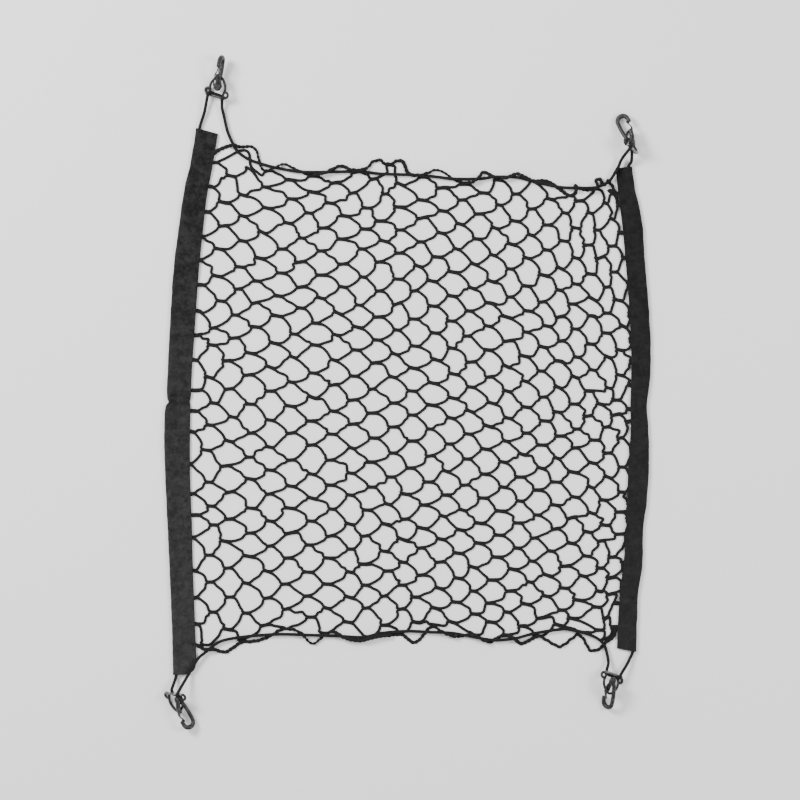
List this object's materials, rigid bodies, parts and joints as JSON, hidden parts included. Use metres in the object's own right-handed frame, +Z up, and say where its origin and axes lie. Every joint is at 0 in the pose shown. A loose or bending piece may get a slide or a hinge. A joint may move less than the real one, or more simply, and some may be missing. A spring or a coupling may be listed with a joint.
{
  "type": "elastic cargo net",
  "caption": "Elastic knotless cargo net lying flat, with cloth side sleeves, an elastic edge cord and a snap hook on a wire bail at each corner.",
  "frame": {"origin": "middle of the bounding box in X and Y, on the floor under the net", "axes": "+Z up from the floor, +Y up the net towards its upper edge as pictured, +X to the right"},
  "size_m": [0.6249, 0.8634, 0.029],
  "materials": {
    "net_yarn": "matt black polyester yarn over rubber",
    "sleeve_left_cloth": "matt woven cloth, worn charcoal",
    "sleeve_right_cloth": "smooth woven cloth, black",
    "cord_cover": "braided cover over rubber",
    "bail_finish_tl": "black-coated steel wire",
    "bar_finish_tl": "bare drawn steel",
    "hook_finish_tl": "black-coated steel",
    "gate_finish_tl": "bare spring wire",
    "bail_finish_tr": "black-coated steel wire",
    "bar_finish_tr": "bare drawn steel",
    "hook_finish_tr": "black-coated steel",
    "gate_finish_tr": "bare spring wire",
    "bail_finish_bl": "black-coated steel wire",
    "bar_finish_bl": "bare drawn steel",
    "hook_finish_bl": "black-coated steel",
    "gate_finish_bl": "bare spring wire",
    "bail_finish_br": "black-coated steel wire",
    "bar_finish_br": "bare drawn steel",
    "hook_finish_br": "black-coated steel",
    "gate_finish_br": "bare spring wire"
  },
  "bodies": {
    "root": {"net": "net_yarn", "sleeve_left": "sleeve_left_cloth", "sleeve_right": "sleeve_right_cloth", "cord": "cord_cover", "bail_tl": "bail_finish_tl", "bail_tr": "bail_finish_tr", "bail_bl": "bail_finish_bl", "bail_br": "bail_finish_br", "crossbar_tl": "bar_finish_tl", "crossbar_tr": "bar_finish_tr", "crossbar_bl": "bar_finish_bl", "crossbar_br": "bar_finish_br", "hook_tl": "hook_finish_tl", "hook_tr": "hook_finish_tr", "hook_bl": "hook_finish_bl", "hook_br": "hook_finish_br"},
    "gate_tl_body": {"gate_tl": "gate_finish_tl"},
    "gate_tr_body": {"gate_tr": "gate_finish_tr"},
    "gate_bl_body": {"gate_bl": "gate_finish_bl"},
    "gate_br_body": {"gate_br": "gate_finish_br"}
  },
  "joints": [
    {"name": "gate_tl_swing", "type": "hinge", "parent": "root", "child": "gate_tl_body", "pos_m": [-0.2436, 0.3938, 0.0094], "axis": [-0.9391, 0.1893, -0.2868], "range_deg": [0, 8], "stiffness_Nm_per_rad": 0.3, "springref_deg": -8.59},
    {"name": "gate_tr_swing", "type": "hinge", "parent": "root", "child": "gate_tr_body", "pos_m": [0.2869, 0.3228, 0.0168], "axis": [-0.2919, 0.2342, 0.9273], "range_deg": [0, 8], "stiffness_Nm_per_rad": 0.3, "springref_deg": -8.59},
    {"name": "gate_bl_swing", "type": "hinge", "parent": "root", "child": "gate_bl_body", "pos_m": [-0.2943, -0.3934, 0.0109], "axis": [0.4116, 0.1013, 0.9057], "range_deg": [0, 8], "stiffness_Nm_per_rad": 0.3, "springref_deg": -8.59},
    {"name": "gate_br_swing", "type": "hinge", "parent": "root", "child": "gate_br_body", "pos_m": [0.262, -0.3682, 0.0204], "axis": [-0.6839, -0.1971, 0.7024], "range_deg": [0, 8], "stiffness_Nm_per_rad": 0.3, "springref_deg": -8.59}
  ]
}
